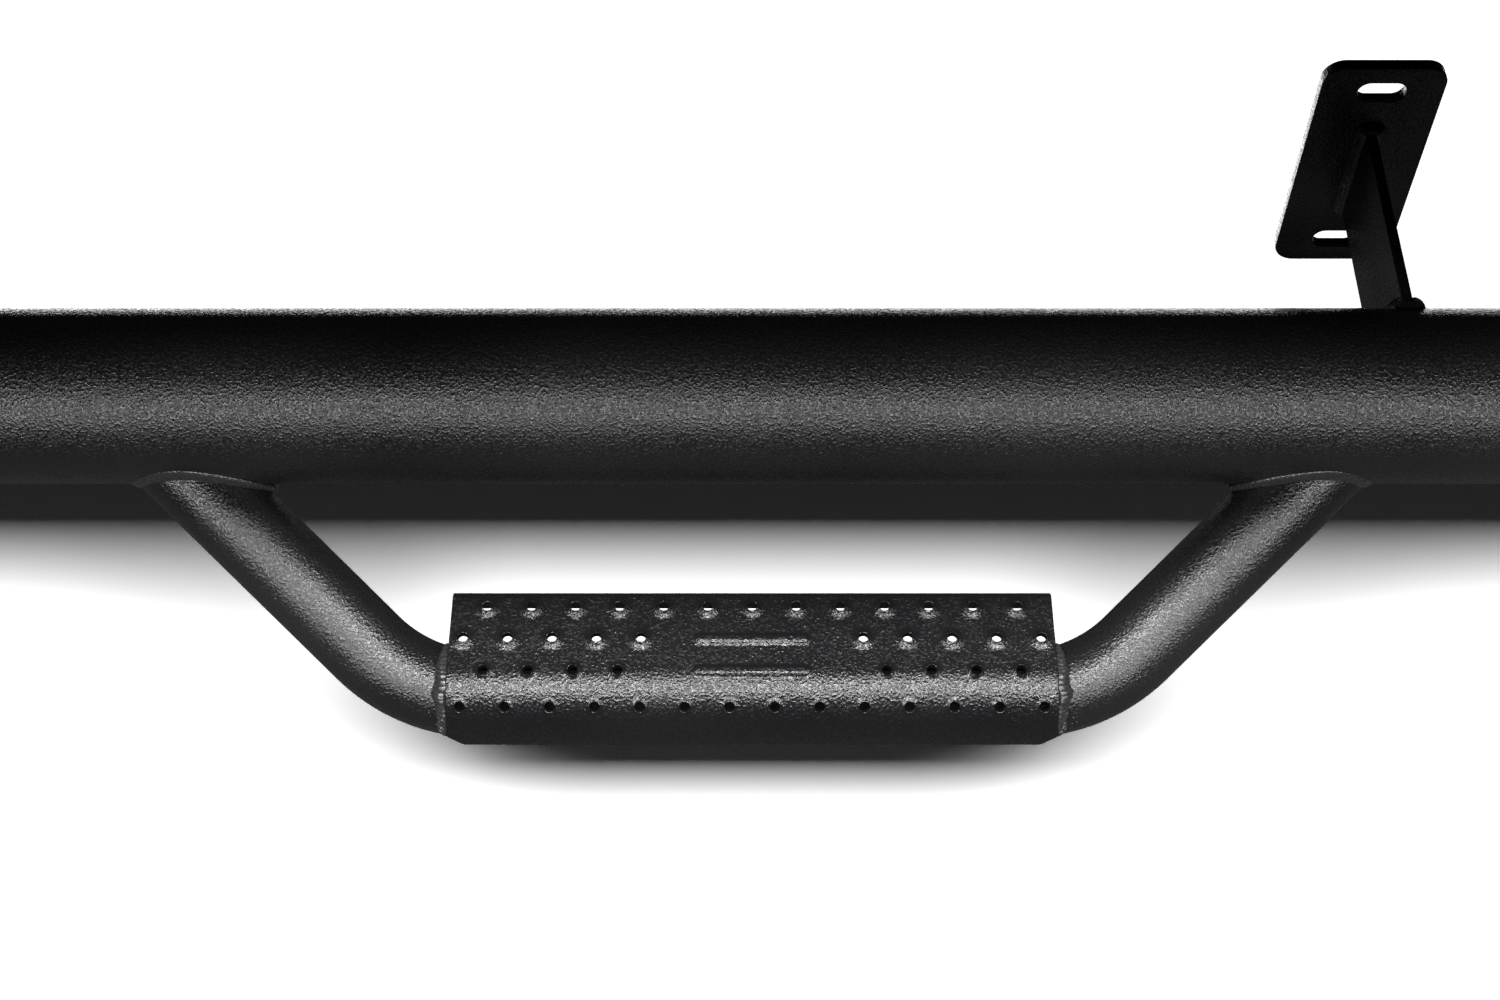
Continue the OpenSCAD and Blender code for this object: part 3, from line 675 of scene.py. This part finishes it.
# Heights of the sheet's outside and inside. The outside is level for 0.3 mm round a hole.
top = flare(from_hole, foot, HOLE_R + 0.3 * MM, rise) + bell(from_rib, RIB_FOOT, RIB_CROWN, RIB_RISE)
top -= eased(to_border, EDGE_ROUND) + eased(from_hole - HOLE_R, EDGE_ROUND)
low = -PAD_T + flare(from_hole, foot - UNDER_INSET, HOLE_R, rise) + eased(to_border, EDGE_ROUND)


def fold(laid, height):
    """Places on the folded sheet, from the flat layout and a height above the sheet's outside."""
    x, t = laid.T
    back, lift = np.empty(len(x)), np.empty(len(x))
    flange, rear = t < T_FLANGE, (t >= T_FLANGE) & (t < T_REAR)
    flat, front, skirt = (t >= T_REAR) & (t < T_FLAT), (t >= T_FLAT) & (t < T_FRONT), t >= T_FRONT
    back[flange], lift[flange] = PAD_BACK + height[flange], PAD_REACH - FLANGE + t[flange]
    turn = (t[rear] - T_FLANGE) / REAR_R
    back[rear] = PAD_BACK - REAR_R + (REAR_R + height[rear]) * np.cos(turn)
    lift[rear] = PAD_REACH - REAR_R + (REAR_R + height[rear]) * np.sin(turn)
    back[flat], lift[flat] = PAD_BACK - REAR_R - (t[flat] - T_REAR), PAD_REACH + height[flat]
    turn = (t[front] - T_FLAT) / FOLD_R
    back[front] = -FOLD_C - (FOLD_R + height[front]) * np.sin(turn)
    lift[front] = FOLD_C + (FOLD_R + height[front]) * np.cos(turn)
    back[skirt], lift[skirt] = -PAD_REACH - height[skirt], FOLD_C - (t[skirt] - T_FRONT)
    return np.stack([x, back, lift], axis=1) + PAD_AT


count = len(laid)
points = np.concatenate([fold(laid, top), fold(laid, low)])
faces = quads + [[count + i for i in reversed(q)] for q in quads]
faces += [[i, j, count + j, count + i] for i, j in rim]
pad = attach(make("step_pad_sheet", points, faces, pad_coat, 42), "step_pad")


# ---- weld spatter ----

def spatter_tree(material):
    """Scatters small frozen drops over a patch, each a flattened bead of its own size."""
    tree, given = geometry_tree("weld_spatter", {"Drops per square metre": 90000.0, "Smallest": 0.25 * MM,
                                                 "Largest": 0.75 * MM, "Seed": 11})
    spread = node(tree, "GeometryNodeDistributePointsOnFaces",
                  {"Mesh": given["Geometry"], "Density": given["Drops per square metre"],
                   "Seed": given["Seed"]})
    drop = node(tree, "GeometryNodeMeshIcoSphere", values={"Radius": 1.0, "Subdivisions": 3})
    low = node(tree, "GeometryNodeTransform", {"Geometry": drop.outputs[0]}, {"Scale": (1, 1, 0.6)})
    # inputs 2 and 3 are the least and the greatest number, and output 1 is the number drawn
    size = node(tree, "FunctionNodeRandomValue",
                {2: given["Smallest"], 3: given["Largest"], "Seed": given["Seed"]}, data_type="FLOAT")
    placed = node(tree, "GeometryNodeInstanceOnPoints",
                  {"Points": spread.outputs["Points"], "Instance": low.outputs[0],
                   "Rotation": spread.outputs["Rotation"], "Scale": size.outputs[1]})
    real = node(tree, "GeometryNodeRealizeInstances", {0: placed.outputs[0]})
    coated = node(tree, "GeometryNodeSetMaterial", {"Geometry": real.outputs[0]}, {"Material": material})
    node(tree, "NodeGroupOutput", {0: coated.outputs[0]})
    return tree


def patch(rings):
    return plain_mesh("patch", np.concatenate(rings), skin(rings, False, closed_ring=False))


# Bands where the drops land: on the hoop past the pad's ends, and under the main tube past the hoop's feet
past_pad = PAD_HALF + np.array([3.5, 6, 9]) * MM
past_foot = np.array([262, 268, 276]) * MM
spatter = spatter_tree(bead_coat)
for side, word in ((-1, "left"), (1, "right")):
    near_pad = np.array([on_hoop(x, np.radians(np.linspace(62, 100, 8))) for x in past_pad])
    near_pad = near_pad * [side, 1, 1] + PAD_AT
    turn = np.linspace(-2.05, -1.1, 10)
    near_tube = np.array([[[x, -STANDOFF + MAIN_R * math.cos(a), MAIN_R * math.sin(a)] for a in turn]
                          for x in SHIFT + side * past_foot])
    for place, rings in (("pad", near_pad), ("tube", near_tube)):
        # side turns the order of the rings, so that both patches face outwards
        drops = grown(spatter, "weld_spatter", patch(rings[::side]))
        attach(finish_mesh(f"{word}_{place}_spatter", drops, bead_coat, 60))


# ---- studio ----

def stage_sheet(name, centre, size, material, corners=4):
    """A flat studio sheet, a rectangle by its half sizes or, with many corners, an ellipse."""
    turn = 2 * math.pi * (np.arange(corners) + 0.5) / corners
    reach = math.sqrt(2) if corners == 4 else 1
    flat = reach * np.stack([size[0] * np.cos(turn), size[1] * np.sin(turn), 0 * turn], axis=1)
    mesh = plain_mesh(name, np.array(centre) + flat, [range(corners)])
    mesh.materials.append(material)
    made = add_object(name, mesh)
    made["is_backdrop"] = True
    return made


def seen_as(owner, unseen, seen):
    """Empties a node tree and gives it a grey, with one value for the camera and one for all other light."""
    owner.use_nodes = True
    tree = owner.node_tree
    tree.nodes.clear()
    camera_ray = node(tree, "ShaderNodeLightPath").outputs["Is Camera Ray"]
    tone = node(tree, "ShaderNodeMix", {0: camera_ray}, {6: (*[unseen] * 3, 1), 7: (*[seen] * 3, 1)},
                data_type="RGBA")
    return tree, tone.outputs[2]


# The camera sees a white floor; the coat's gloss and bounced light see a dim one, as in a dark studio.
floor_paint = bpy.data.materials.new("pale_floor")
tree, tone = seen_as(floor_paint, 0.09, 1.5)
matt = node(tree, "ShaderNodeBsdfDiffuse", {"Color": tone})
node(tree, "ShaderNodeOutputMaterial", {"Surface": matt.outputs[0]})
# The floor ends inside its lamp's pool of white light, so that no view shows an edge.
FLOOR_Z = -190 * MM
floor = stage_sheet("floor", (0.02, -0.25, FLOOR_Z), (0.9, 0.75), floor_paint, corners=96)

black_cloth = bpy.data.materials.new("black_cloth")
black_cloth.use_nodes = True
cloth = black_cloth.node_tree.nodes["Principled BSDF"].inputs
cloth["Base Color"].default_value = (0.002, 0.002, 0.002, 1)
cloth["Roughness"].default_value = 1
cloth["Specular IOR Level"].default_value = 0


def area(name, place, target, size, power):
    """A rectangular lamp at a place, turned towards a target."""
    light = bpy.data.lights.new(name, "AREA")
    light.shape, light.size, light.size_y = "RECTANGLE", size[0], size[1]
    light.energy = power
    made = add_object(name, light)
    made.location = place
    made.rotation_euler = (Vector(target) - Vector(place)).to_track_quat("-Z", "Y").to_euler()
    made.visible_camera = False
    made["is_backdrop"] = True
    return made


def only(name, state, *things):
    """A lamp's list of the objects that it lights, leaves out or lets through."""
    group = bpy.data.collections.new(name)
    for k, thing in enumerate(things):
        group.objects.link(thing)
        group.collection_objects[k].light_linking.link_state = state
    return group


# A dark flag over the main tube keeps its top black and shades the legs from the overhead box.
flag = stage_sheet("flag", (0.1, 0.12, 0.12), (1.4, 0.37), black_cloth)
flag.visible_camera = False
overhead = area("overhead_box", (0.1, -0.50, 1.0), (0.1, -0.24, -0.07), (2.0, 0.3), 35)
front = area("front_box", (0.1, -1.22, 0.75), (0.1, -0.16, -0.02), (3.4, 0.3), 29)
overhead.light_linking.receiver_collection = only("not_the_floor", "EXCLUDE", floor)
# The front box leaves out the pad, so that its fold shines in one narrow line.
front.light_linking.receiver_collection = only("not_the_pad", "EXCLUDE", floor, pad)
# The floor has a lamp of its own, so that it is white but for the part's soft shadow.
floor_box = area("floor_box", (0.1, -0.64, 1.2), (0.1, -0.10, FLOOR_Z), (1.6, 0.42), 34)
floor_box.light_linking.receiver_collection = only("floor_alone", "INCLUDE", floor)
floor_box.light_linking.blocker_collection = only("through_the_flag", "EXCLUDE", flag)

# A low lamp behind lights the tube and the plates there. It leaves out the rest, which it would
# give bright rims.
rear = area("rear_box", (0.0, 0.95, -0.85), (0.0, -0.10, 0.0), (2.6, 0.7), 24)
backs = ("main_tube_skin", "left_end_cap_dome", "right_end_cap_dome", "left_mount_plate_rounded",
         "right_mount_plate_rounded")
rear.light_linking.receiver_collection = only("tube_and_plates", "INCLUDE",
                                              *[bpy.data.objects[name] for name in backs])
rear.light_linking.blocker_collection = only("through_the_floor", "EXCLUDE", floor)

world = bpy.data.worlds.new("white")
bpy.context.scene.world = world
tree, tone = seen_as(world, 0.02, 1)
sky = node(tree, "ShaderNodeBackground", {"Color": tone})
node(tree, "ShaderNodeOutputWorld", {"Surface": sky.outputs[0]})

# The camera looks down at 55 degrees.
lens = bpy.data.cameras.new("camera")
lens.sensor_width, lens.lens = 36, 53.95
lens.clip_start, lens.clip_end = 0.05, 50
camera = add_object("camera", lens)
camera.location = (0.0961, -0.7349, 0.7713)
camera.rotation_euler = Vector((0, 0.5736, -0.8192)).to_track_quat("-Z", "Y").to_euler()
bpy.context.scene.camera = camera
bpy.context.scene.view_settings.view_transform = "Standard"

low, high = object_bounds()
